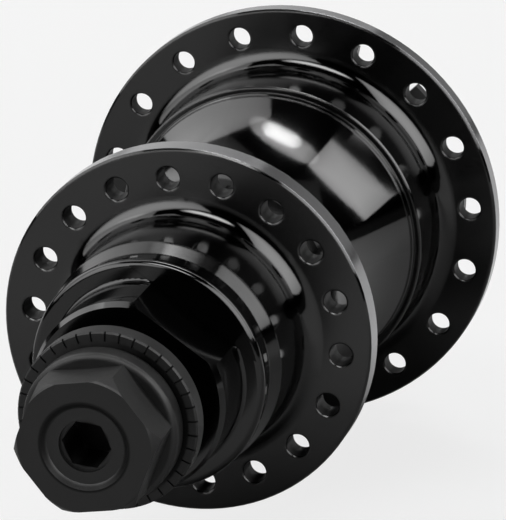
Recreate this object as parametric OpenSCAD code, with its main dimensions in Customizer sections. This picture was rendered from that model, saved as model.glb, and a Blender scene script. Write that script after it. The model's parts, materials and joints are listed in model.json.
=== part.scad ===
// Rear hub of a bicycle, for 36 spokes, with a one-piece driver and a female axle.
// The axle lies along Y. The origin is the middle of the axle, the plain end is at -Y,
// the driven end is at +Y, and +Z is up. All sizes are in millimetres.

/* [Overall] */
// Distance between the two serrated lock faces, which the frame's dropouts bear on
lock_width = 110; // [108:0.5:114]
// Radial clearance of races and spacers on the axle, and of races in their seats
fit_gap = 0.03; // [0.02:0.01:0.06]
// Clearance between pieces that turn past each other
turn_gap = 0.35; // [0.3:0.05:0.5]

/* [Shell] */
// Distance from the middle to the outer face of the plain flange
plain_flange_y = 23.5; // [23:0.25:24.5]
// Metal left outside the plain flange's spoke holes
plain_flange_edge = 2.1; // [1.6:0.05:2.6]
// Thickness of the plain flange
plain_flange_t = 3.5; // [3.1:0.1:3.9]
// Diameter of the plain flange's spoke hole circle
plain_hole_circle_d = 38; // [37.5:0.25:39]
// Distance from the middle to the inner face of the drive flange
drive_flange_y = 24.6; // [24:0.2:25.2]
// Metal left outside the drive flange's spoke holes
drive_flange_edge = 1.75; // [1.3:0.05:2.2]
// Thickness of the drive flange
drive_flange_t = 2.6; // [2.4:0.1:3]
// Diameter of the drive flange's spoke hole circle
drive_hole_circle_d = 48; // [47.6:0.2:49]
// Spoke holes in each flange
holes_per_flange = 18; // [14, 16, 18]
// Diameter of a spoke hole
spoke_hole_d = 2.8; // [2.4:0.1:2.9]
// Diameter of the countersunk rim of a spoke hole
spoke_rim_d = 3.1; // [3:0.05:3.5]
// Turn of the first plain spoke hole from straight up
hole_turn = 13.6; // [0:0.1:20]
// Diameter of the neck outside the plain flange
neck_d = 28.9; // [28.4:0.1:29.6]
// Length of the neck outside the plain flange
neck_l = 14.35; // [13.5:0.05:15]
// Diameter of the neck's narrow end
neck_end_d = 27.2; // [26.8:0.1:28]
// Diameter of the barrel at its narrowest
barrel_d = 26; // [25:0.25:27]
// Diameter of the bell where it ends at the shoulder
bell_d = 37.9; // [37.6:0.1:38.6]
// Where the bell ends, measured from the middle
bell_y = 14.4; // [14.2:0.1:15]
// Where the bell starts to widen, measured back from the middle
bell_start = 6; // [4:0.5:8]
// Diameter of the band between the bell and the drive flange
band_d = 39.6; // [39:0.1:40.2]
// Radius of the fillets at the roots of the flanges
root_r = 2.4; // [1.8:0.1:2.6]
// Length of the collar outside the drive flange
drive_collar_l = 1.8; // [1.4:0.1:2]
// Diameter of the hollow inside the barrel
barrel_bore_d = 21.6; // [20:0.2:22.4]

/* [Bearings] */
// Bore of each bearing, which is also the axle's diameter in the middle
bearing_bore_d = 15; // [14.8:0.1:15.2]
// Outside diameter of each bearing
bearing_d = 24; // [23.8:0.1:24.4]
// Width of each bearing
bearing_w = 5; // [4.8:0.1:5.4]
// Diameter of a ball
ball_d = 2.4; // [2.2:0.1:2.5]
// Balls in each bearing
ball_count = 15; // [11:1:17]
// Depth of the plain bearing below the end of the shell
plain_bearing_depth = 0.6; // [0.5:0.05:0.8]
// Where the bearing inside the bell starts
inner_bearing_y = 7.5; // [7:0.25:8]
// Where the driver's inner bearing starts
driver_inner_y = 23.2; // [23:0.1:23.6]
// Where the driver's outer bearing starts
driver_outer_y = 35.8; // [35.4:0.1:36]

/* [Ratchet] */
// Outside diameter of the ratchet ring
ratchet_d = 35.2; // [34.8:0.1:35.6]
// Diameter across the tips of the ratchet teeth
ratchet_tip_d = 30; // [29.9:0.1:30.4]
// Depth of the ratchet teeth
ratchet_depth = 1.2; // [1.1:0.05:1.4]
// Where the ratchet ring starts
ratchet_y = 15; // [14.8:0.1:15.4]
// Length of the ratchet ring
ratchet_l = 7.5; // [7:0.1:7.6]

/* [Driver] */
// Diameter of the driver's pawl carrier
carrier_d = 29.4; // [29:0.1:29.5]
// Diameter of the driver under the seal
driver_d = 30.4; // [30:0.1:31]
// Thickness of the driver's wall around its bearings
driver_wall = 1.8; // [1.6:0.1:2]
// Where the driver ends, measured from the middle
driver_end = 42; // [41.6:0.1:42.4]
// Teeth of the cog
cog_teeth = 9; // [9, 10, 11]
// Pitch of the chain
chain_pitch = 12.7; // [12.6:0.1:12.8]
// Thickness of the cog
cog_t = 2.8; // [2.4:0.1:3]
// Middle of the cog, measured from the middle of the hub
cog_y = 36.5; // [35.8:0.1:37.2]
// Bore of the driver inside its pawl carrier
driver_bore_d = 18.4; // [18:0.1:18.8]
// Length of a pawl along the axle
pawl_length = 6.4; // [5.6:0.1:6.6]

/* [Axle] */
// Diameter of the axle's ends
axle_end_d = 14; // [13.6:0.1:14.2]
// Diameter of the bolts' threaded shanks
bolt_d = 10; // [9:0.5:10]
// Length of each bolt's shank
bolt_l = 28; // [22:1:34]
// Diameter of the hole through the middle of the axle
axle_bore_d = 8; // [6:0.5:8]
// Outside diameter of the spacer tubes, as of the inner races
spacer_d = 17.2; // [16.8:0.1:17.4]

/* [Ends] */
// Width across the two wrench flats of an end cap
cap_flats = 19.8; // [19:0.1:20.4]
// Diameter of an end cap's body
cap_d = 23; // [22.6:0.1:23.6]
// Length of an end cap's body along its flats
cap_body_l = 7.95; // [7:0.05:8.3]
// Diameter of the plain end cap's collar
plain_collar_d = 28; // [27.6:0.1:28.4]
// Diameter of the drive end cap's collar
drive_collar_d = 26; // [25.4:0.1:26.6]
// Thickness of an end cap's collar
collar_t = 1.6; // [1.4:0.1:1.8]
// Diameter of an end cap's neck
cap_neck_d = 16; // [15.6:0.1:16.4]
// Diameter of a lock washer
washer_d = 21.1; // [20.4:0.1:21.6]
// Thickness of a lock washer
washer_t = 2.6; // [2.2:0.1:3]
// Grooves on the face of a lock washer
washer_grooves = 38; // [30:1:44]
// Diameter of a bolt's flange
bolt_flange_d = 18.1; // [17.7:0.1:18.6]
// Thickness of a bolt's flange
bolt_flange_t = 3.2; // [2.8:0.1:3.6]
// Width across flats of a bolt's head
bolt_hex = 15; // [14.4:0.1:15.2]
// Height of a bolt's hexagon above its flange
bolt_hex_h = 5.3; // [4.6:0.1:6]
// Width across flats of a bolt's socket
socket_hex = 5; // [4.5:0.1:6]
// Depth of a bolt's socket
socket_depth = 6; // [4:0.5:7]
// Diameter of the shallow recess in a bolt's face
recess_d = 10.1; // [9.6:0.1:10.6]

/* [Hidden] */
$fn = 96;
// Overlap that makes two joined shapes one solid, and that clears a cut
bite = 0.5;
full_turn = 360;

// Shell
shell_start = -plain_flange_y - neck_l;
shell_end = drive_flange_y + drive_flange_t + drive_collar_l;
plain_flange_inner = -plain_flange_y + plain_flange_t;
drive_flange_outer = drive_flange_y + drive_flange_t;
neck_taper_l = 1.8;
neck_end_l = 2.25;
plain_flange_r = (plain_hole_circle_d + spoke_rim_d) / 2 + plain_flange_edge;
drive_flange_r = (drive_hole_circle_d + spoke_rim_d) / 2 + drive_flange_edge;
flange_chamfer = 0.25;
plain_flange_back_chamfer = 0.3;
edge_chamfer = 0.2;
barrel_r = barrel_d / 2;
bell_rise = bell_d / 2 - barrel_r;
bell_run = bell_y + bell_start;
bell_arc_r = (bell_rise * bell_rise + bell_run * bell_run) / (2 * bell_rise);
band_y = bell_y + 0.2;
drive_root_r = min(root_r, (drive_hole_circle_d - spoke_rim_d - band_d) / 2);
plain_root_r = min(root_r, (plain_hole_circle_d - spoke_rim_d - neck_d) / 2);
inner_root_r = 2;
collar_root_r = 0.8;
drive_collar_r = band_d / 2 + 0.2;
hole_pitch = full_turn / holes_per_flange;

// Bearings
race_t = 1.6;
race_in_r = bearing_bore_d / 2 + fit_gap;
race_out_r = bearing_d / 2 - fit_gap;
ball_ring_r = (race_in_r + race_out_r) / 2;
inner_land_r = race_in_r + race_t;
outer_land_r = race_out_r - race_t;
groove_r = ball_d / 2 + 0.05;
pocket_r = ball_d / 2 + 0.07;
cage_t = 0.7;
cage_w = ball_d + 0.9;
shield_t = 0.3;
shield_gap = 0.25;
shield_inset = 0.15;
plain_bearing_y = shell_start + plain_bearing_depth;
inner_bearing_end = inner_bearing_y + bearing_w;
driver_inner_end = driver_inner_y + bearing_w;
driver_outer_end = driver_outer_y + bearing_w;
bearing_seat_r = bearing_d / 2;
seal_t = 0.45;

// Ratchet and pawls, drawn flat with the first pawl's pivot on the local X axis
tooth_count = 36;
tooth_pitch = full_turn / tooth_count;
tooth_land = 0.8;
ratchet_seat_r = ratchet_d / 2 + fit_gap;
ratchet_tip_r = ratchet_tip_d / 2;
ratchet_root_r = ratchet_tip_r + ratchet_depth;
ratchet_end = ratchet_y + ratchet_l;
pawl_count = 3;
pawl_pitch = full_turn / pawl_count;
heel_r = 1.85;
pawl_back = ratchet_tip_r - 1;
pivot_r = pawl_back - heel_r;
pawl_tip_r = ratchet_root_r - 0.55;
nose_angle = acos(pawl_back / pawl_tip_r);
nose_depth = 2.4;
face_gap = 2.5;
pawl_gap = 0.06;
pocket_floor = pivot_r - heel_r - 0.25;
pocket_end = pawl_tip_r * sin(nose_angle) + 0.6;
pawl_side_gap = 0.2;
leaf_t = 0.24;
leaf_w = 3;
leaf_start = 1.7;
leaf_l = 4.8;
clip_y = ratchet_end + 0.1;
clip_t = 1.2;
clip_r = ratchet_d / 2 + 0.7;
clip_in_r = ratchet_d / 2 - 1.4;
clip_gap_deg = 24;

// Driver
carrier_y = ratchet_y + 0.1;
carrier_end = ratchet_end + 0.25;
driver_neck_y = shell_end - 1.1;
driver_neck_r = bearing_seat_r + driver_wall;
driver_bore_r = driver_bore_d / 2;
race_spacer_t = 1.1;
cog_pitch_r = chain_pitch / 2 / sin(full_turn / 2 / cog_teeth);
roller_r = 4.05;
cog_tip_r = cog_pitch_r + 2.1;
tooth_flare = 0.75;
cog_chamfer = 0.55;
cog_land_t = 1.4;
driver_clip_r = bearing_seat_r + driver_wall * 0.28;
driver_clip_t = 0.7;
seal_y = ratchet_end + 3.5;
seal_l = 2.2;
seal_lip_r = driver_d / 2 + 0.08;

// Axle and ends
half_lock = lock_width / 2;
axle_r = bearing_bore_d / 2;
axle_end_r = axle_end_d / 2;
axle_step_gap = 0.3;
washer_back = half_lock - washer_t;
axle_half_l = half_lock - 0.4;
bolt_bore_r = bolt_d / 2;
bolt_clearance = 0.08;
bolt_bore_l = bolt_l + 3;
cap_root_r = 0.5;
flats_bite = 0.05;
collar_edge_r = 0.8;
nose_r = inner_land_r - 0.1;
cap_chamfer = 0.45;
cap_chamfer_l = 0.85;
groove_turn = 8.8;
washer_groove_w = 0.22;
washer_groove_depth = 0.27;
washer_groove_l = 1.1;
washer_bore_gap = 0.1;
flange_edge_r = 0.7;
hex_turn = 20.5;
socket_turn = 35.5;
flats_turn = 34.3;
recess_depth = 0.5;
recess_slope = 0.6;
socket_rim_r = socket_hex / sqrt(3) + 0.2;
socket_rim_depth = 0.5;
hex_chamfer_h = 1.2;
hex_face_r = bolt_hex / 2 + 0.45;

// Shared shapes

// Lays a shape that was drawn around Z along the hub's axis, with Z turned to +Y
module on_axis() {
    rotate([-90, 0, 0]) children();
}

// Turns a profile of radius against distance along the axis into a solid of revolution
module turned() {
    on_axis() rotate_extrude() children();
}

// Builds a piece of the plain end, which is the drive end's piece facing the other way
module at_plain_end() {
    mirror([0, 1, 0]) children();
}

// A rectangle from an inner to an outer radius, between two places along the axis
module ring_section(inner, outer, start, end) {
    translate([inner, start]) square([outer - inner, end - start]);
}

// A rectangle with its outer corners cut at 45 degrees, the same at both unless end_cut is given
module chamfered_section(outer, start, end, cut, end_cut = undef) {
    last = is_undef(end_cut) ? cut : end_cut;
    polygon([
        [0, start], [outer - cut, start], [outer, start + cut],
        [outer, end - last], [outer - last, end], [0, end]
    ]);
}

// A concave fillet in the corner between a cylinder and a face. side is -1 where
// the fillet lies before the face, and 1 where it lies behind it
module root_fillet(radius, face, size, side) {
    translate([radius, face]) scale([1, side]) difference() {
        translate([-bite, -bite]) square(size + bite);
        translate([size, size]) circle(size);
    }
}

// A regular hexagon of a given width across flats, with a corner at a given turn from up
module hexagon(flats, turn) {
    rotate(turn - 90) circle(d = flats * 2 / sqrt(3), $fn = 6);
}

// Shell

module bell_section() {
    difference() {
        ring_section(0, bell_d / 2, -bell_start, bell_y + bite);
        translate([barrel_r + bell_arc_r, -bell_start]) circle(bell_arc_r, $fn = 360);
    }
}

module neck_section() {
    neck_r = neck_d / 2;
    end_r = neck_end_d / 2;
    taper_end = shell_start + neck_end_l;
    cut = edge_chamfer;
    polygon([
        [0, shell_start], [end_r - cut, shell_start], [end_r, shell_start + cut],
        [end_r, taper_end], [neck_r - cut / 2, taper_end + neck_taper_l],
        [neck_r, taper_end + neck_taper_l + cut], [neck_r, -plain_flange_y + bite],
        [0, -plain_flange_y + bite]
    ]);
}

module shell_outside() {
    neck_section();
    chamfered_section(plain_flange_r, -plain_flange_y, plain_flange_inner, flange_chamfer,
                      plain_flange_back_chamfer);
    root_fillet(neck_d / 2, -plain_flange_y, plain_root_r, -1);
    ring_section(0, barrel_r, plain_flange_inner - bite, -bell_start + bite);
    root_fillet(barrel_r, plain_flange_inner, inner_root_r, 1);
    bell_section();
    chamfered_section(band_d / 2, band_y, drive_flange_y + bite, edge_chamfer);
    ring_section(0, bell_d / 2 - edge_chamfer, bell_y - bite, band_y + bite);
    root_fillet(band_d / 2, drive_flange_y, drive_root_r, -1);
    chamfered_section(drive_flange_r, drive_flange_y, drive_flange_outer, flange_chamfer);
    chamfered_section(drive_collar_r, drive_flange_y, shell_end, edge_chamfer);
    root_fillet(drive_collar_r, drive_flange_outer, collar_root_r, 1);
}

module shell_inside() {
    bore_r = barrel_bore_d / 2;
    ring_section(0, bearing_seat_r, shell_start - bite, plain_bearing_y + bearing_w);
    ring_section(0, bore_r, shell_start, ratchet_y);
    ring_section(0, bearing_seat_r, inner_bearing_y, ratchet_y + bite);
    ring_section(0, ratchet_seat_r, ratchet_y, shell_end + bite);
    ring_section(0, clip_r + fit_gap, clip_y - fit_gap, clip_y + clip_t + fit_gap);
}

// One spoke hole with its two countersunk rims, along Z, centred on the flange
module spoke_hole(flange_t) {
    rim = (spoke_rim_d - spoke_hole_d) / 2;
    half = flange_t / 2;
    hole_r = spoke_hole_d / 2;
    rotate_extrude() polygon([
        [0, -half - bite], [hole_r + rim + bite, -half - bite], [hole_r, -half + rim],
        [hole_r, half - rim], [hole_r + rim + bite, half + bite], [0, half + bite]
    ]);
}

// The ring of spoke holes of one flange, turned from straight up towards +X
module spoke_holes(circle_d, middle, flange_t, turn) {
    for (i = [0 : holes_per_flange - 1])
        rotate([0, turn + i * hole_pitch, 0])
            translate([0, middle, circle_d / 2])
                on_axis() spoke_hole(flange_t);
}

module hub_shell() {
    color([0.03, 0.03, 0.035]) difference() {
        turned() difference() {
            shell_outside();
            shell_inside();
        }
        spoke_holes(plain_hole_circle_d, -plain_flange_y + plain_flange_t / 2,
                    plain_flange_t, hole_turn);
        spoke_holes(drive_hole_circle_d, drive_flange_y + drive_flange_t / 2,
                    drive_flange_t, hole_turn + hole_pitch / 2);
    }
}

// Flat rubber seal in the end of the shell, around the plain end cap's nose
module plain_dust_seal() {
    start = shell_start + 0.05;
    color([0.06, 0.06, 0.06]) turned()
        ring_section(nose_r + 0.1, bearing_seat_r - fit_gap, start, start + seal_t);
}

// Rubber seal in the driven end of the shell, with a lip around the driver
module driver_seal() {
    lip_l = 0.8;
    body_r = (seal_lip_r + ratchet_seat_r) / 2;
    color([0.06, 0.06, 0.06]) turned() {
        ring_section(body_r, ratchet_seat_r - fit_gap, seal_y, seal_y + seal_l);
        ring_section(seal_lip_r, body_r + bite, seal_y, seal_y + lip_l);
    }
}

// Ratchet

// The outline inside the ratchet ring: each tooth has a steep face and a long ramp
module ratchet_outline() {
    first = nose_angle + face_gap;
    polygon([
        for (i = [0 : tooth_count - 1])
            for (p = [[ratchet_root_r, 0], [ratchet_tip_r, 0], [ratchet_tip_r, tooth_land]])
                p[0] * [cos(first + i * tooth_pitch + p[1]), sin(first + i * tooth_pitch + p[1])]
    ]);
}

module ratchet_ring() {
    color([0.45, 0.45, 0.47]) translate([0, ratchet_y, 0]) on_axis()
        linear_extrude(ratchet_l) difference() {
            circle(ratchet_d / 2);
            ratchet_outline();
        }
}

// Spring ring in a groove of the shell, which keeps the ratchet ring in
module ratchet_circlip() {
    color([0.3, 0.3, 0.32]) translate([0, clip_y, 0]) on_axis()
        rotate_extrude(angle = full_turn - clip_gap_deg)
            ring_section(clip_in_r, clip_r, 0, clip_t);
}

// One pawl's outline, in its place before the first tooth
module pawl_outline() {
    nose_in_r = pawl_tip_r - nose_depth;
    translate([pivot_r, 0]) circle(heel_r);
    polygon([
        [pawl_back, 0],
        pawl_tip_r * [cos(nose_angle), sin(nose_angle)],
        nose_in_r * [cos(nose_angle), sin(nose_angle)],
        [pivot_r - heel_r * 0.75, heel_r * 0.65],
        [pivot_r - heel_r, 0]
    ]);
}

module pawl(index) {
    color([0.5, 0.5, 0.52]) translate([0, carrier_y + pawl_side_gap, 0]) on_axis()
        rotate(index * pawl_pitch) linear_extrude(pawl_length) pawl_outline();
}

module pawl_1() { pawl(0); }
module pawl_2() { pawl(1); }
module pawl_3() { pawl(2); }

// One pawl's leaf spring, in its pressed shape on the floor of the pocket
module pawl_spring(index) {
    middle = carrier_y + pawl_side_gap + pawl_length / 2;
    color([0.6, 0.6, 0.62]) on_axis() rotate(index * pawl_pitch)
        translate([pocket_floor, leaf_start, middle - leaf_w / 2])
            cube([leaf_t, leaf_l, leaf_w]);
}

module pawl_spring_1() { pawl_spring(0); }
module pawl_spring_2() { pawl_spring(1); }
module pawl_spring_3() { pawl_spring(2); }

// Driver

module pawl_pocket() {
    pocket_l = pawl_length + 2 * pawl_side_gap;
    translate([0, 0, carrier_y - bite]) linear_extrude(pocket_l + bite) {
        translate([pivot_r, 0]) circle(heel_r + pawl_gap);
        translate([pocket_floor, 0])
            square([carrier_d - pocket_floor, pocket_end]);
    }
}

// The gap for one chain roller, which flares towards the tips of the teeth
module roller_gap() {
    flare = roller_r + tooth_flare;
    translate([cog_pitch_r, 0]) circle(roller_r);
    polygon([
        [cog_pitch_r, -roller_r], [cog_tip_r + bite, -flare],
        [cog_tip_r + bite, flare], [cog_pitch_r, roller_r]
    ]);
}

module cog() {
    edge = (cog_t - cog_land_t) / 2;
    intersection() {
        translate([0, 0, cog_y - cog_t / 2]) linear_extrude(cog_t) difference() {
            circle(cog_tip_r);
            for (i = [0 : cog_teeth - 1])
                rotate((i + 0.5) * full_turn / cog_teeth) roller_gap();
        }
        translate([0, 0, cog_y - cog_t / 2]) rotate_extrude() polygon([
            [0, 0], [cog_pitch_r, 0], [cog_tip_r, edge], [cog_tip_r, cog_t - edge],
            [cog_pitch_r, cog_t], [0, cog_t]
        ]);
    }
}

module driver_outside() {
    chamfered_section(carrier_d / 2, carrier_y, carrier_end + bite, edge_chamfer);
    chamfered_section(driver_d / 2, carrier_end, driver_neck_y, edge_chamfer);
    chamfered_section(driver_neck_r, driver_neck_y - bite, driver_end, cog_chamfer);
}

module driver_inside() {
    ring_section(0, driver_bore_r, carrier_y - bite, driver_end);
    ring_section(0, bearing_seat_r, driver_inner_y, driver_end + bite);
    ring_section(0, driver_clip_r, driver_outer_end, driver_outer_end + driver_clip_t);
}

module driver() {
    color([0.12, 0.12, 0.13]) difference() {
        on_axis() difference() {
            union() {
                rotate_extrude() driver_outside();
                cog();
            }
            rotate_extrude() driver_inside();
            for (i = [0 : pawl_count - 1]) rotate(i * pawl_pitch) pawl_pocket();
        }
    }
}

// Spring ring in the driver, which keeps its outer bearing in
module driver_circlip() {
    color([0.3, 0.3, 0.32]) translate([0, driver_outer_end + fit_gap, 0]) on_axis()
        rotate_extrude(angle = full_turn - clip_gap_deg)
            ring_section(outer_land_r, driver_clip_r - fit_gap,
                         0, driver_clip_t - 2 * fit_gap);
}

// Bearings, each from its own start along the axis

module race_groove(start) {
    translate([ball_ring_r, start + bearing_w / 2]) circle(groove_r);
}

module outer_race(start) {
    color([0.55, 0.55, 0.57]) turned() difference() {
        ring_section(outer_land_r, race_out_r, start, start + bearing_w);
        race_groove(start);
    }
}

module inner_race(start) {
    color([0.55, 0.55, 0.57]) turned() difference() {
        ring_section(race_in_r, inner_land_r, start, start + bearing_w);
        race_groove(start);
    }
}

module balls(start) {
    color([0.75, 0.75, 0.77]) translate([0, start + bearing_w / 2, 0]) on_axis()
        for (i = [0 : ball_count - 1])
            rotate(i * full_turn / ball_count) translate([ball_ring_r, 0, 0])
                sphere(d = ball_d, $fn = 32);
}

// The ring that spaces the balls, with one round pocket drilled through it for each ball
module cage(start) {
    inset = (bearing_w - cage_w) / 2;
    color([0.5, 0.38, 0.2]) difference() {
        turned() ring_section(ball_ring_r - cage_t / 2, ball_ring_r + cage_t / 2,
                              start + inset, start + bearing_w - inset);
        translate([0, start + bearing_w / 2, 0]) on_axis()
            for (i = [0 : ball_count - 1])
                rotate(i * full_turn / ball_count) translate([ball_ring_r - cage_t, 0, 0])
                    rotate([0, 90, 0]) cylinder(h = 2 * cage_t, r = pocket_r);
    }
}

module shields(start) {
    inner = inner_land_r + shield_gap;
    outer = outer_land_r - fit_gap;
    color([0.08, 0.08, 0.09]) turned() {
        ring_section(inner, outer, start + shield_inset, start + shield_inset + shield_t);
        ring_section(inner, outer, start + bearing_w - shield_inset - shield_t,
                     start + bearing_w - shield_inset);
    }
}

module plain_bearing_outer_race() { outer_race(plain_bearing_y); }
module plain_bearing_inner_race() { inner_race(plain_bearing_y); }
module plain_bearing_balls() { balls(plain_bearing_y); }
module plain_bearing_cage() { cage(plain_bearing_y); }
module plain_bearing_shields() { shields(plain_bearing_y); }

module inner_bearing_outer_race() { outer_race(inner_bearing_y); }
module inner_bearing_inner_race() { inner_race(inner_bearing_y); }
module inner_bearing_balls() { balls(inner_bearing_y); }
module inner_bearing_cage() { cage(inner_bearing_y); }
module inner_bearing_shields() { shields(inner_bearing_y); }

module driver_inner_bearing_outer_race() { outer_race(driver_inner_y); }
module driver_inner_bearing_inner_race() { inner_race(driver_inner_y); }
module driver_inner_bearing_balls() { balls(driver_inner_y); }
module driver_inner_bearing_cage() { cage(driver_inner_y); }
module driver_inner_bearing_shields() { shields(driver_inner_y); }

module driver_outer_bearing_outer_race() { outer_race(driver_outer_y); }
module driver_outer_bearing_inner_race() { inner_race(driver_outer_y); }
module driver_outer_bearing_balls() { balls(driver_outer_y); }
module driver_outer_bearing_cage() { cage(driver_outer_y); }
module driver_outer_bearing_shields() { shields(driver_outer_y); }

// Axle and what is clamped on it

module axle() {
    plain_step = -shell_start + turn_gap + collar_t;
    drive_step = driver_end + turn_gap + collar_t;
    color([0.2, 0.2, 0.22]) turned() difference() {
        union() {
            chamfered_section(axle_end_r, -axle_half_l, axle_half_l, edge_chamfer);
            ring_section(0, axle_r, -plain_step, drive_step);
        }
        ring_section(0, axle_bore_d / 2, -half_lock, half_lock);
        ring_section(0, bolt_bore_r, -half_lock, -half_lock + bolt_bore_l);
        ring_section(0, bolt_bore_r, half_lock - bolt_bore_l, half_lock);
    }
}

module spacer(start, end) {
    color([0.6, 0.6, 0.62]) turned()
        ring_section(race_in_r, spacer_d / 2, start, end);
}

module barrel_spacer() { spacer(plain_bearing_y + bearing_w, inner_bearing_y); }
module clutch_spacer() { spacer(inner_bearing_end, driver_inner_y); }
module driver_spacer() { spacer(driver_inner_end, driver_outer_y); }

// Tube between the outer races of the driver's two bearings
module race_spacer() {
    color([0.6, 0.6, 0.62]) turned()
        ring_section(race_out_r - race_spacer_t, race_out_r, driver_inner_end, driver_outer_y);
}

// The collar's outer edge is round in front, and its back edge is cut at 45 degrees
module collar_section(radius, start) {
    end = start + collar_t;
    polygon([
        [0, start], [radius - edge_chamfer, start], [radius, start + edge_chamfer],
        [radius, end - collar_edge_r], [radius - collar_edge_r, end], [0, end]
    ]);
    translate([radius - collar_edge_r, end - collar_edge_r]) circle(collar_edge_r);
}

// An end cap, drawn for the drive end: nose, collar, body and neck, outwards in turn
module end_cap(nose_start, collar_start, collar_d) {
    body_start = collar_start + collar_t;
    body_end = body_start + cap_body_l;
    body_r = cap_d / 2;
    step = body_start + axle_step_gap;
    difference() {
        turned() difference() {
            union() {
                ring_section(0, nose_r, nose_start, collar_start + bite);
                collar_section(collar_d / 2, collar_start);
                root_fillet(body_r, body_start, cap_root_r, 1);
                polygon([
                    [0, collar_start + bite], [body_r, collar_start + bite],
                    [body_r, body_end - cap_chamfer_l], [body_r - cap_chamfer, body_end],
                    [0, body_end]
                ]);
                ring_section(0, cap_neck_d / 2, body_end - bite, washer_back);
            }
            ring_section(0, axle_r + fit_gap, nose_start - bite, step);
            ring_section(0, axle_end_r + fit_gap, step - bite, half_lock);
        }
        for (side = [0, 1])
            rotate([0, flats_turn + side * full_turn / 2, 0])
                translate([-cap_d, body_start - flats_bite, cap_flats / 2])
                    cube([2 * cap_d, cap_body_l + bite, cap_d]);
    }
}

module lock_washer() {
    groove_y = half_lock - washer_groove_depth;
    difference() {
        turned() difference() {
            chamfered_section(washer_d / 2, washer_back, half_lock, edge_chamfer);
            ring_section(0, axle_end_r + washer_bore_gap, washer_back - bite,
                         half_lock + bite);
        }
        for (i = [0 : washer_grooves - 1])
            rotate([0, groove_turn + i * full_turn / washer_grooves, 0])
                translate([-washer_groove_w / 2, groove_y, washer_d / 2 - washer_groove_l])
                    cube([washer_groove_w, washer_groove_depth + bite, washer_groove_l + bite]);
    }
}

// The bolt's flange, with a round edge
module bolt_flange_section() {
    radius = bolt_flange_d / 2;
    end = half_lock + bolt_flange_t;
    edge = flange_edge_r;
    ring_section(0, radius - edge, half_lock, end);
    ring_section(0, radius, half_lock + edge, end - edge);
    translate([radius - edge, end - edge]) circle(edge);
    translate([radius - edge, half_lock + edge]) circle(edge);
}

module bolt_head_limit() {
    start = half_lock + bolt_flange_t;
    face = start + bolt_hex_h;
    corner_r = bolt_hex / sqrt(3);
    polygon([
        [0, start - bite], [corner_r + bite, start - bite], [corner_r + bite, face - hex_chamfer_h],
        [corner_r, face - hex_chamfer_h], [hex_face_r, face - edge_chamfer],
        [hex_face_r - edge_chamfer, face], [0, face]
    ]);
}

module bolt_recess() {
    face = half_lock + bolt_flange_t + bolt_hex_h;
    floor_y = face - recess_depth;
    wide = recess_d / 2;
    polygon([
        [0, floor_y], [wide - recess_slope, floor_y], [wide, face], [wide + bite, face + bite],
        [0, face + bite]
    ]);
    ring_section(0, socket_rim_r, floor_y - socket_rim_depth, floor_y + bite);
}

module axle_bolt() {
    hex_start = half_lock + bolt_flange_t;
    face = hex_start + bolt_hex_h;
    shank_r = bolt_bore_r - bolt_clearance;
    shank_start = half_lock - bolt_l;
    cut = 0.8;
    difference() {
        union() {
            turned() {
                bolt_flange_section();
                polygon([
                    [0, shank_start], [shank_r - cut, shank_start], [shank_r, shank_start + cut],
                    [shank_r, half_lock + bite], [0, half_lock + bite]
                ]);
            }
            intersection() {
                translate([0, hex_start - bite, 0]) on_axis()
                    linear_extrude(bolt_hex_h + bite) hexagon(bolt_hex, hex_turn);
                turned() bolt_head_limit();
            }
        }
        turned() bolt_recess();
        translate([0, face - socket_depth, 0]) on_axis()
            linear_extrude(socket_depth) hexagon(socket_hex, socket_turn);
    }
}

module drive_end_cap() {
    color([0.04, 0.04, 0.045])
        end_cap(driver_outer_end, driver_end + turn_gap, drive_collar_d);
}

module plain_end_cap() {
    color([0.04, 0.04, 0.045]) at_plain_end()
        end_cap(-plain_bearing_y, -shell_start + turn_gap, plain_collar_d);
}

module drive_lock_washer() { color([0.13, 0.13, 0.13]) lock_washer(); }
module plain_lock_washer() { color([0.13, 0.13, 0.13]) at_plain_end() lock_washer(); }
module drive_axle_bolt() { color([0.1, 0.1, 0.1]) axle_bolt(); }
module plain_axle_bolt() { color([0.1, 0.1, 0.1]) at_plain_end() axle_bolt(); }

hub_shell();
plain_dust_seal();
driver_seal();
ratchet_ring();
ratchet_circlip();
plain_bearing_outer_race();
plain_bearing_inner_race();
plain_bearing_balls();
plain_bearing_cage();
plain_bearing_shields();
inner_bearing_outer_race();
inner_bearing_inner_race();
inner_bearing_balls();
inner_bearing_cage();
inner_bearing_shields();
driver();
driver_circlip();
pawl_1();
pawl_2();
pawl_3();
pawl_spring_1();
pawl_spring_2();
pawl_spring_3();
driver_inner_bearing_outer_race();
driver_inner_bearing_inner_race();
driver_inner_bearing_balls();
driver_inner_bearing_cage();
driver_inner_bearing_shields();
driver_outer_bearing_outer_race();
driver_outer_bearing_inner_race();
driver_outer_bearing_balls();
driver_outer_bearing_cage();
driver_outer_bearing_shields();
axle();
barrel_spacer();
clutch_spacer();
driver_spacer();
race_spacer();
plain_end_cap();
plain_lock_washer();
plain_axle_bolt();
drive_end_cap();
drive_lock_washer();
drive_axle_bolt();
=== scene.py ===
import bpy
import json
import math
from mathutils import Matrix, Quaternion, Vector


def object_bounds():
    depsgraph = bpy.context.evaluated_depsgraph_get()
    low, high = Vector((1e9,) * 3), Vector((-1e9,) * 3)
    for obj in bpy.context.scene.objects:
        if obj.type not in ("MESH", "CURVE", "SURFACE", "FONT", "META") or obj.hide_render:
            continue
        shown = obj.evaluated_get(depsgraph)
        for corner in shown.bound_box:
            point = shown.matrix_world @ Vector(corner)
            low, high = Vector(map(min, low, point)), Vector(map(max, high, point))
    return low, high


# Metres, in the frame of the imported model: the axle lies along Y with its plain end towards -Y,
# and +Z is up. Colours are linear.
MM = 0.001

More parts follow.
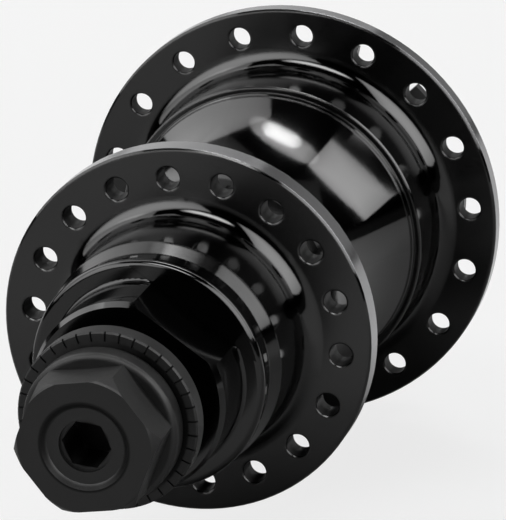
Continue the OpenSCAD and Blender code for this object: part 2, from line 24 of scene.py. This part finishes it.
# Camera, solved from the circles of the hub in the photograph
FRAME_LONG_SIDE = 520
FOCAL_PIXELS = 4000
SENSOR = 36
CLIP_START = 0.01
CLIP_END = 10
CAMERA_AT = Vector((0.1267, -0.4543, 0.1572))
CAMERA_RIGHT = Vector((0.9642, 0.2651, 0))
CAMERA_FORWARD = Vector((-0.2517, 0.9156, -0.3135))

# The polished bell ends this far from the middle. Outside it the shell keeps its turning marks
BELL_END = 0.0145
# The neck's cylinder ends here along Y, and its tapered end begins
TAPER_END = -0.0335
# Width over which the two change along the axle
ZONE_EDGE = 0.1 * MM

# Places on the flanges, as the distances at which they begin and are fully reached: from the
# middle of a flange along the axle, from its hole circle, and outwards from that circle
IN_FLANGE = (2.2 * MM, 2.1 * MM)
AT_HOLES = (1.75 * MM, 1.65 * MM)
RIM_BEGINS = 3 * MM
RIM_REACHED = 3.1 * MM

# How far a surface faces along the axle, 0 to 1, where each kind begins and is fully reached
FACE_NORMAL = (0.93, 0.985)
CYLINDER_NORMAL = (0.02, 0.01)
HOLE_WALL_NORMAL = (0.05, 0.02)
RIM_NORMAL = (0.3, 0.2)
CONE_NORMAL_LOW = (0.3, 0.35)
CONE_NORMAL_HIGH = (0.55, 0.5)

# Values of a noise between which its effect goes from none to all
BROAD = (0.3, 0.7)
FINE = (0.2, 0.8)
MOTTLED = (0.25, 0.75)
ANODISED_DUST = (0.55, 0.8)
RUBBED_SPOTS = (0.58, 0.8)
OIL_SPOTS = (0.5, 0.8)
RUBBER_DUST = (0.45, 0.8)

# Turning marks: noise along a ring for each radian, and the rings' detail and roughness
RING_NOISE = 0.7
RING_DETAIL = 3.0
RING_ROUGHNESS = 0.7
SHELL_RING_PITCH = 0.00012
CAP_RING_PITCH = 0.00014
# Stretch of the reflections on the shell, and its direction as a share of a full turn
TURNED_STRETCH = 0.9
TURNED_DIRECTION = 0.25

# Black anodised alloy, the barer rims of the flanges, and the colour of dust with its most strength
ANODISED = (0.0012, 0.0012, 0.0013, 1)
RIM_COLOUR = (0.24, 0.24, 0.245, 1)
SHELL_DUST_LEVEL = 0.005
SHELL_DUST_SHARE = 0.35
CAP_DUST_LEVEL = 0.006
CAP_DUST_SHARE = 0.4
# Lowest and highest roughness of each kind of surface
SHELL_ROUGHNESS = {
    "polished": (0.045, 0.075),
    "turned": (0.06, 0.085),
    "taper": (0.09, 0.12),
    "face": (0.15, 0.21),
    "drilled": (0.32, 0.45),
    "rim": (0.1, 0.15),
}
CAP_POLISHED = (0.07, 0.12)
CAP_SATIN = (0.12, 0.18)
# Specular level of polished and of dull places, and how dull a turned cylinder is
SHELL_SPECULAR = (0.5, 0.28)
TURNED_DULLNESS = 0.6
CAP_SPECULAR = 0.4
# Radius to which the shell's edges look rounded off, and the samples that find it
EDGE_RADIUS = 0.3 * MM
EDGE_SAMPLES = 4

# Blackened steel: (colour, lowest roughness, highest roughness, specular level, depth of grain)
BLACKENED_STEELS = {
    "washer_steel": (0.005, 0.4, 0.55, 0.3, 0.000005),
    "bolt_steel": (0.004, 0.38, 0.52, 0.3, 0.000005),
    "driver_steel": (0.02, 0.3, 0.42, 0.5, 0.000004),
    "clip_steel": (0.03, 0.3, 0.45, 0.5, 0.000004),
}
# Their rubbed spots: how many times as pale as the rest, and how strong at most
RUBBED_GAIN = 1.9
RUBBED_SHARE = 0.5
# Rings of painted shade on them, with darker colour and duller reflection: in the bolt's socket, in
# the corner of its recess, and on the washer's +X side where the bolt's flange shades it: (inner
# radius, outer radius, strength, on the +X side only)
PAINTED_SHADE_RINGS = {
    "washer_steel": [(0, 9.4 * MM, 0.85, True)],
    "bolt_steel": [(0, 2.55 * MM, 0.85, False), (4.7 * MM, 5.2 * MM, 0.7, False)],
}
# Colour under full painted shade
PAINTED_SHADE_COLOUR = 0.0006
# Specular level under full painted shade, as a share of the clean steel's
PAINTED_SHADE_SPECULAR_SHARE = 0.15
# Width over which the edge of a ring fades out
PAINTED_SHADE_EDGE = 0.0002
# Angles from straight up towards +X at which the painted shade on one side begins, and at which it
# ends
PAINTED_SHADE_BEGINS = (0, 0.5)
PAINTED_SHADE_ENDS = (2.9, 2.2)

# Bare metal: (colour, lowest roughness, highest roughness, pitch of the turning marks)
BARE_METALS = {
    "ratchet_steel": ((0.42, 0.42, 0.43), 0.25, 0.38, 0.00008),
    "pawl_steel": ((0.48, 0.48, 0.49), 0.22, 0.34, 0.00006),
    "spring_steel": ((0.55, 0.55, 0.56), 0.2, 0.3, 0.00005),
    "race_steel": ((0.58, 0.58, 0.59), 0.14, 0.26, 0.00006),
    "ball_steel": ((0.68, 0.68, 0.69), 0.06, 0.12, 0.0002),
    "cage_brass": ((0.55, 0.4, 0.19), 0.24, 0.36, 0.00008),
    "axle_steel": ((0.28, 0.28, 0.29), 0.26, 0.4, 0.0001),
    "spacer_alloy": ((0.62, 0.62, 0.63), 0.28, 0.4, 0.0001),
}
# Colour under a film of oil, as a share of the bare metal's
OILED_SHARE = 0.72

# Rubber: (colour, roughness)
RUBBERS = {
    "shield_rubber": (0.012, 0.5),
    "seal_rubber": (0.01, 0.6),
}
# The roughness goes this far either way. Dust is this many times as pale, and this strong at most
RUBBER_SPREAD = 0.1
RUBBER_DUST_GAIN = 2.5
RUBBER_DUST_SHARE = 0.5
RUBBER_SPECULAR = 0.4

# Studio. Azimuths are degrees from +Y towards +X, elevations degrees above the horizon
LAMP_DISTANCE = 1.2
# A lamp dims towards its edges with this power of the distance from its middle
LAMP_DIMMING_POWER = 3.0
SOFTBOXES = {
    # name: (shape, azimuth, elevation, width and height in degrees, lean to the left in degrees as
    #        the hub sees it, radiance, share of it at the top edge, share lost at all edges,
    #        lights matt surfaces too)
    "back_top": ("ELLIPSE", 0, 64.5, 27, 9, -3, 13, 1, 0.9, True),
    "back_top_tail": ("ELLIPSE", 6, 62, 48, 13, -13, 5, 1, 0.9, True),
    "back_left": ("RECTANGLE", -61, 43, 26, 58, 0, 2.6, 1, 0.3, True),
    "back_right": ("RECTANGLE", 60.5, 33, 20, 48, 21, 5.8, 1, 0.4, False),
    "backdrop_left": ("RECTANGLE", -22, 25, 46, 44, 0, 1.1, 0.15, 0.3, True),
    "backdrop_right": ("RECTANGLE", 19, 22, 36, 38, 0, 0.45, 0.3, 0.3, True),
    "side_left": ("RECTANGLE", -94, 33, 40, 46, 0, 2.4, 1, 0.2, False),
    "front_top": ("ELLIPSE", 182, 63, 34, 17, 0, 14, 1, 0.9, False),
    "front_left": ("RECTANGLE", -141, 30, 52, 40, 0, 4.8, 1, 0.4, False),
    "front_right": ("RECTANGLE", 121, 33, 66, 46, -12, 6, 1, 0.5, False),
}
# Sines of the angles above the horizon between which the world goes from white to the ceiling
HORIZON = (0.05, 0.12)
CEILING = 0.012

FLOOR_SIDE = 6
FLOOR_ALBEDO = 0.8
FLOOR_ROUGHNESS = 0.9
# Share of plain white in the floor, as the camera sees it and as reflections do
FLOOR_WHITE_SEEN = 0.8
FLOOR_WHITE_MIRRORED = 0.6
# The white in reflections is a painted glow. It begins at these places along Y and is full at the
# next, in front of the hub and behind it. Between them the polished shell mirrors the floor without
# it, only lamp-lit, so the floor under the hub looks shaded in reflections
FLOOR_WHITE_IN_FRONT = (-0.04, -0.1)
FLOOR_WHITE_BEHIND = (0.02, 0.06)

# The colour sockets of a mix node share their names with others, so they go by their places
MIX_COLOUR_A = 6
MIX_COLOUR_B = 7
MIX_COLOUR_RESULT = 2


def grey(level):
    return (level, level, level, 1)


class Graph:
    """Short names for the nodes that the materials, the lamps and the world are made of."""

    def __init__(self, tree):
        self.tree = tree
        self.coords = tree.nodes.new("ShaderNodeTexCoord")

    def put(self, socket, value):
        """Links a socket to another one, or sets it to a constant."""
        if isinstance(value, bpy.types.NodeSocket):
            self.tree.links.new(value, socket)
        else:
            socket.default_value = value

    def math(self, operation, a, b=0.0):
        node = self.tree.nodes.new("ShaderNodeMath")
        node.operation = operation
        self.put(node.inputs[0], a)
        self.put(node.inputs[1], b)
        return node.outputs[0]

    def times(self, a, b):
        return self.math("MULTIPLY", a, b)

    def larger(self, a, b):
        return self.math("MAXIMUM", a, b)

    def distance(self, value, middle):
        return self.math("ABSOLUTE", self.math("SUBTRACT", value, middle))

    def split(self, vector):
        node = self.tree.nodes.new("ShaderNodeSeparateXYZ")
        self.tree.links.new(vector, node.inputs[0])
        return node.outputs

    def position(self):
        """The point on the object: x, y and z in metres."""
        return self.split(self.coords.outputs["Object"])

    def facing_axle(self):
        """How far the surface faces along the axle, either way: 1 on flat faces, 0 on cylinders."""
        return self.math("ABSOLUTE", self.split(self.coords.outputs["Normal"])[1])

    def radius(self):
        """Distance from the axle's line."""
        x, _, z = self.position()
        return self.math("SQRT", self.math("ADD", self.times(x, x), self.times(z, z)))

    def angle(self):
        """Turn about the axle in radians, from straight up towards +X."""
        x, _, z = self.position()
        return self.math("ARCTAN2", x, z)

    def noise(self, scale, detail, roughness=0.6, vector=None):
        """Noise from 0 to 1. scale is in features a metre."""
        node = self.tree.nodes.new("ShaderNodeTexNoise")
        node.inputs["Scale"].default_value = scale
        node.inputs["Detail"].default_value = detail
        node.inputs["Roughness"].default_value = roughness
        self.tree.links.new(vector or self.coords.outputs["Object"], node.inputs["Vector"])
        return node.outputs["Fac"]

    def ramp(self, value, low, high, to_low=0.0, to_high=1.0, smooth=False):
        """Maps a value from one range to another. Past its ends the result stays at them."""
        node = self.tree.nodes.new("ShaderNodeMapRange")
        node.interpolation_type = "SMOOTHSTEP" if smooth else "LINEAR"
        for name, v in (("Value", value), ("From Min", low), ("From Max", high),
                        ("To Min", to_low), ("To Max", to_high)):
            self.put(node.inputs[name], v)
        return node.outputs["Result"]

    def blend(self, share, a, b):
        """Mixes two colours. share is b's."""
        node = self.tree.nodes.new("ShaderNodeMix")
        node.data_type = "RGBA"
        self.put(node.inputs["Factor"], share)
        self.put(node.inputs[MIX_COLOUR_A], a)
        self.put(node.inputs[MIX_COLOUR_B], b)
        return node.outputs[MIX_COLOUR_RESULT]

    def bump(self, height, distance, strength, normal=None):
        """Normals of a surface raised by up to a distance, on top of other normals if given."""
        node = self.tree.nodes.new("ShaderNodeBump")
        node.inputs["Strength"].default_value = strength
        node.inputs["Distance"].default_value = distance
        self.tree.links.new(height, node.inputs["Height"])
        if normal:
            self.tree.links.new(normal, node.inputs["Normal"])
        return node.outputs["Normal"]

    def soft_edges(self, radius):
        """Normals that round off the edges for the light, as tumbling and anodising leave them."""
        node = self.tree.nodes.new("ShaderNodeBevel")
        node.samples = EDGE_SAMPLES
        node.inputs["Radius"].default_value = radius
        return node.outputs["Normal"]

    def turning_marks(self, pitch, across):
        """Noise for the rings that a lathe leaves. across is the value that counts them."""
        cell = self.tree.nodes.new("ShaderNodeCombineXYZ")
        self.put(cell.inputs["X"], self.times(across, 1 / pitch))
        self.put(cell.inputs["Y"], self.times(self.angle(), RING_NOISE))
        return self.noise(1.0, RING_DETAIL, RING_ROUGHNESS, cell.outputs[0])


def new_material(name):
    """A material whose tree has a shader and an output: (material, graph, shader)."""
    material = bpy.data.materials.new(name)
    material.use_nodes = True
    tree = material.node_tree
    tree.nodes.clear()
    output = tree.nodes.new("ShaderNodeOutputMaterial")
    shader = tree.nodes.new("ShaderNodeBsdfPrincipled")
    tree.links.new(shader.outputs["BSDF"], output.inputs["Surface"])
    return material, Graph(tree), shader


def turned_gloss(g, shader):
    """Stretches reflections along the axle, across the fine rings that turning leaves."""
    tangent = g.tree.nodes.new("ShaderNodeTangent")
    tangent.direction_type = "RADIAL"
    tangent.axis = "Y"
    g.tree.links.new(tangent.outputs["Tangent"], shader.inputs["Tangent"])
    shader.inputs["Anisotropic"].default_value = TURNED_STRETCH
    shader.inputs["Anisotropic Rotation"].default_value = TURNED_DIRECTION


def shell_black(name, hole_circles):
    """Black anodised shell: polished bell, turned neck, bands and faces, drilled spoke holes.

    hole_circles has each flange's place along the axle and the radius of its hole circle."""
    material, g, shader = new_material(name)
    along = g.position()[1]
    radius = g.radius()
    side = g.facing_axle()
    drilled = 0.0
    rim = 0.0
    for y, circle in hole_circles:
        in_flange = g.ramp(g.distance(along, y), *IN_FLANGE)
        at_holes = g.ramp(g.distance(radius, circle), *AT_HOLES)
        outside = g.ramp(radius, circle + RIM_BEGINS, circle + RIM_REACHED)
        drilled = g.larger(drilled, g.times(in_flange, at_holes))
        rim = g.larger(rim, g.times(in_flange, outside))
    drilled = g.times(drilled, g.ramp(side, *HOLE_WALL_NORMAL))
    rim = g.times(rim, g.ramp(side, *RIM_NORMAL))
    face = g.ramp(side, *FACE_NORMAL, smooth=True)
    past_bell = g.ramp(g.math("ABSOLUTE", along), BELL_END - ZONE_EDGE, BELL_END)
    turned = g.times(g.ramp(side, *CYLINDER_NORMAL), past_bell)
    cone = g.times(g.ramp(side, *CONE_NORMAL_LOW), g.ramp(side, *CONE_NORMAL_HIGH))
    taper = g.times(g.ramp(along, TAPER_END + ZONE_EDGE, TAPER_END), cone)

    fine = g.noise(scale=2600, detail=5)
    roughness = g.ramp(g.noise(scale=90, detail=3), *BROAD, *SHELL_ROUGHNESS["polished"])
    for kind, mask in (("turned", turned), ("taper", taper), ("face", face),
                       ("drilled", drilled), ("rim", rim)):
        roughness = g.ramp(mask, 0, 1, roughness, g.ramp(fine, *FINE, *SHELL_ROUGHNESS[kind]))
    dust = g.ramp(g.noise(scale=700, detail=6, roughness=0.7), *ANODISED_DUST, 0.0, SHELL_DUST_SHARE)
    dyed = g.blend(dust, ANODISED, grey(SHELL_DUST_LEVEL))
    dull = g.larger(g.larger(taper, drilled), g.times(turned, TURNED_DULLNESS))
    marks = g.turning_marks(SHELL_RING_PITCH, across=g.radius())
    rings = g.bump(marks, distance=0.000004, strength=0.35, normal=g.soft_edges(EDGE_RADIUS))
    g.put(shader.inputs["Base Color"], g.blend(rim, dyed, RIM_COLOUR))
    g.put(shader.inputs["Metallic"], rim)
    g.put(shader.inputs["Roughness"], roughness)
    g.put(shader.inputs["Specular IOR Level"], g.ramp(dull, 0, 1, *SHELL_SPECULAR))
    g.put(shader.inputs["Normal"], g.bump(fine, distance=0.0000015, strength=0.2, normal=rings))
    turned_gloss(g, shader)
    return material


def cap_black(name):
    """End caps: black anodised like the shell, a little softer on the flat faces."""
    material, g, shader = new_material(name)
    face = g.ramp(g.facing_axle(), *FACE_NORMAL, smooth=True)
    fine = g.noise(scale=2600, detail=5)
    polished = g.ramp(g.noise(scale=110, detail=3), *BROAD, *CAP_POLISHED)
    satin = g.ramp(fine, *FINE, *CAP_SATIN)
    off_faces = g.times(polished, g.math("SUBTRACT", 1.0, face))
    dust = g.ramp(g.noise(scale=800, detail=6, roughness=0.7), *ANODISED_DUST, 0.0, CAP_DUST_SHARE)
    marks = g.turning_marks(CAP_RING_PITCH, across=g.radius())
    rings = g.bump(marks, distance=0.000005, strength=0.4)
    g.put(shader.inputs["Base Color"], g.blend(dust, ANODISED, grey(CAP_DUST_LEVEL)))
    g.put(shader.inputs["Roughness"], g.math("ADD", off_faces, g.times(satin, face)))
    g.put(shader.inputs["Normal"], g.bump(fine, distance=0.0000015, strength=0.2, normal=rings))
    shader.inputs["Specular IOR Level"].default_value = CAP_SPECULAR
    return material


def blackened_steel(name, colour, low, high, level, grain):
    """Blackened steel: matte, mottled and grainy, with paler rubbed spots, and on some parts painted
    shade as dark rings where shade falls.
    """
    material, g, shader = new_material(name)
    mottle = g.noise(scale=420, detail=5, roughness=0.65)
    fine = g.noise(scale=3800, detail=4, roughness=0.7)
    radius = g.radius()
    painted_shade_rings = PAINTED_SHADE_RINGS.get(name, ())
    painted_shade = 0.0
    # Painted shade: each ring darkens the colour and weakens the reflection where shade falls, on the
    # washer only on its +X side
    for inner, outer, share, one_sided in painted_shade_rings:
        ring = g.times(g.ramp(radius, inner - PAINTED_SHADE_EDGE, inner),
                       g.ramp(radius, outer + PAINTED_SHADE_EDGE, outer))
        if one_sided:
            angle = g.angle()
            ring = g.times(ring, g.times(g.ramp(angle, *PAINTED_SHADE_BEGINS), g.ramp(angle, *PAINTED_SHADE_ENDS)))
        painted_shade = g.larger(painted_shade, g.times(ring, share))
    spots = g.noise(scale=900, detail=6, roughness=0.75)
    rubbed = g.ramp(spots, *RUBBED_SPOTS, 0.0, RUBBED_SHARE)
    clean = g.blend(rubbed, grey(colour), grey(colour * RUBBED_GAIN))
    coarse = g.bump(mottle, distance=0.00003, strength=0.25)
    if painted_shade_rings:
        level = g.ramp(painted_shade, 0, 1, level, PAINTED_SHADE_SPECULAR_SHARE * level)
    g.put(shader.inputs["Base Color"], g.blend(painted_shade, clean, grey(PAINTED_SHADE_COLOUR)))
    g.put(shader.inputs["Roughness"], g.ramp(mottle, *MOTTLED, low, high))
    g.put(shader.inputs["Specular IOR Level"], level)
    g.put(shader.inputs["Normal"], g.bump(fine, distance=grain, strength=0.5, normal=coarse))
    return material


def bare_metal(name, colour, low, high, pitch):
    """Bare metal with turning marks, uneven polish and a film of old oil."""
    material, g, shader = new_material(name)
    film = g.noise(scale=260, detail=4)
    oiled = [c * OILED_SHARE for c in colour]
    spots = g.ramp(g.noise(scale=640, detail=6, roughness=0.7), *OIL_SPOTS)
    marks = g.turning_marks(pitch, across=g.position()[1])
    g.put(shader.inputs["Base Color"], g.blend(spots, (*colour, 1), (*oiled, 1)))
    g.put(shader.inputs["Roughness"], g.ramp(film, *MOTTLED, low, high))
    g.put(shader.inputs["Normal"], g.bump(marks, distance=0.000006, strength=0.4))
    shader.inputs["Metallic"].default_value = 1
    return material


def rubber(name, colour, roughness):
    """Moulded rubber, dusty, with a faint orange-peel surface."""
    material, g, shader = new_material(name)
    peel = g.noise(scale=2200, detail=3)
    dust = g.ramp(g.noise(scale=500, detail=6, roughness=0.7), *RUBBER_DUST, 0.0, RUBBER_DUST_SHARE)
    uneven = g.ramp(peel, *FINE, roughness - RUBBER_SPREAD, roughness + RUBBER_SPREAD)
    g.put(shader.inputs["Base Color"], g.blend(dust, grey(colour), grey(colour * RUBBER_DUST_GAIN)))
    g.put(shader.inputs["Roughness"], uneven)
    g.put(shader.inputs["Normal"], g.bump(peel, distance=0.00001, strength=0.4))
    shader.inputs["Specular IOR Level"].default_value = RUBBER_SPECULAR
    return material


MATERIALS = {"cap_black": cap_black("cap_black")}
for make, rows in ((blackened_steel, BLACKENED_STEELS), (bare_metal, BARE_METALS), (rubber, RUBBERS)):
    for slot, row in rows.items():
        MATERIALS[slot] = make(slot, *row)


def dress(frame):
    """Gives each CAD node the material of its slot."""
    slot_of = {part["node"]: part["material_slot"] for part in frame["record"]["subparts"]}
    hole_circles = [(mount["pos_m"][1], mount["dims"]["pcd_mm"] / 2 * MM)
                    for mount in frame["record"]["mounts"] if mount["kind"] == "bolt_pattern"]
    MATERIALS["shell_black"] = shell_black("shell_black", hole_circles)
    for name, node in frame["nodes"].items():
        node.data.materials.clear()
        node.data.materials.append(MATERIALS[slot_of[name]])


def direction(azimuth, elevation):
    a, e = math.radians(azimuth), math.radians(elevation)
    return Vector((math.sin(a) * math.cos(e), math.cos(a) * math.cos(e), math.sin(e)))


def width_at_lamp(degrees):
    return 2 * LAMP_DISTANCE * math.tan(math.radians(degrees / 2))


def add_softbox(name, shape, azimuth, elevation, width, height, lean, radiance, top_share,
                dimming, lights_matt):
    """A soft lamp that faces the hub, brightest in its middle. Radiance 1 is white."""
    data = bpy.data.lights.new(name, "AREA")
    data.shape = shape
    data.size = width_at_lamp(width)
    data.size_y = width_at_lamp(height)
    # The lamp's area as a share of its width times its height, then its power from its radiance
    share_of_box = math.pi / 4 if shape == "ELLIPSE" else 1
    data.energy = radiance * math.pi * data.size * data.size_y * share_of_box
    data.use_nodes = True
    tree = data.node_tree
    g = Graph(tree)
    place = g.split(tree.nodes.new("ShaderNodeNewGeometry").outputs["Parametric"])
    across, up = (g.math("POWER", g.math("ABSOLUTE", g.ramp(v, 0, 1, -1, 1)), LAMP_DIMMING_POWER)
                  for v in place[:2])
    from_middle = g.ramp(g.larger(across, up), 0, 1, 1.0, 1.0 - dimming)
    strength = g.times(from_middle, g.ramp(place[1], 0, 1, 1.0, top_share))
    tree.links.new(strength, tree.nodes["Emission"].inputs["Strength"])
    lamp = bpy.data.objects.new(name, data)
    lamp.location = direction(azimuth, elevation) * LAMP_DISTANCE
    lamp.rotation_mode = "QUATERNION"
    leaning = Quaternion((0, 0, 1), math.radians(-lean))
    lamp.rotation_quaternion = (-lamp.location).to_track_quat("-Z", "Y") @ leaning
    lamp.visible_camera = False
    lamp.visible_diffuse = lights_matt
    bpy.context.scene.collection.objects.link(lamp)


def add_world():
    """A white band at the horizon, where the floor ends, under a dark studio ceiling."""
    world = bpy.data.worlds.new("studio")
    bpy.context.scene.world = world
    world.use_nodes = True
    g = Graph(world.node_tree)
    sine = g.split(g.coords.outputs["Generated"])[2]
    level = g.ramp(sine, *HORIZON, 1.0, CEILING, smooth=True)
    g.tree.links.new(level, g.tree.nodes["Background"].inputs["Strength"])


def add_floor(height):
    """A plain pale floor. The camera and reflections see it near white, with the hub's shadow; in
    reflections the white is a painted glow that leaves out the floor under the hub.
    """
    mesh = bpy.data.meshes.new("floor")
    s = FLOOR_SIDE / 2
    corners = [(-s, -s, height), (s, -s, height), (s, s, height), (-s, s, height)]
    mesh.from_pydata(corners, [], [(0, 1, 2, 3)])
    floor = bpy.data.objects.new("floor", mesh)
    bpy.context.scene.collection.objects.link(floor)
    material, g, shader = new_material("floor_pale")
    shader.inputs["Base Color"].default_value = grey(FLOOR_ALBEDO)
    shader.inputs["Roughness"].default_value = FLOOR_ROUGHNESS
    shader.inputs["Specular IOR Level"].default_value = 0
    tree = g.tree
    path = tree.nodes.new("ShaderNodeLightPath")
    mirrored = g.larger(path.outputs["Is Glossy Ray"], path.outputs["Is Transmission Ray"])
    along = g.position()[1]
    # Painted glow: reflections see the floor glow white only in front of the hub and behind it
    painted_glow_zone = g.larger(g.ramp(along, *FLOOR_WHITE_IN_FRONT), g.ramp(along, *FLOOR_WHITE_BEHIND))
    white_share = g.larger(g.times(path.outputs["Is Camera Ray"], FLOOR_WHITE_SEEN),
                           g.times(g.times(mirrored, painted_glow_zone), FLOOR_WHITE_MIRRORED))
    white = tree.nodes.new("ShaderNodeEmission")
    mix = tree.nodes.new("ShaderNodeMixShader")
    tree.links.new(white_share, mix.inputs[0])
    tree.links.new(shader.outputs["BSDF"], mix.inputs[1])
    tree.links.new(white.outputs["Emission"], mix.inputs[2])
    tree.links.new(mix.outputs[0], tree.get_output_node("ALL").inputs["Surface"])
    mesh.materials.append(material)


def add_camera():
    data = bpy.data.cameras.new("camera")
    data.sensor_width = SENSOR
    data.lens = FOCAL_PIXELS * SENSOR / FRAME_LONG_SIDE
    data.clip_start = CLIP_START
    data.clip_end = CLIP_END
    camera = bpy.data.objects.new("camera", data)
    bpy.context.scene.collection.objects.link(camera)
    right = CAMERA_RIGHT.normalized()
    forward = CAMERA_FORWARD.normalized()
    up = right.cross(forward)
    turn = Matrix((right, up, -forward)).transposed().to_4x4()
    camera.matrix_world = Matrix.Translation(CAMERA_AT) @ turn
    bpy.context.scene.camera = camera


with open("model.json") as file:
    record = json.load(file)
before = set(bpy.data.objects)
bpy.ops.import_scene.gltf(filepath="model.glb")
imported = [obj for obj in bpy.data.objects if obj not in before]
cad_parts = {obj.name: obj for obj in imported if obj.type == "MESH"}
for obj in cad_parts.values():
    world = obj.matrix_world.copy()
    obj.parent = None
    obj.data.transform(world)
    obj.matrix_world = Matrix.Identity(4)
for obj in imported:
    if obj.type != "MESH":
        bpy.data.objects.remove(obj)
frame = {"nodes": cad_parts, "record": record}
cad_box = [list(corner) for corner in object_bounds()]
bpy.context.scene.view_settings.view_transform = "Standard"
dress(frame)
for name, box in SOFTBOXES.items():
    add_softbox(name, *box)
add_world()
add_floor(cad_box[0][2])
add_camera()
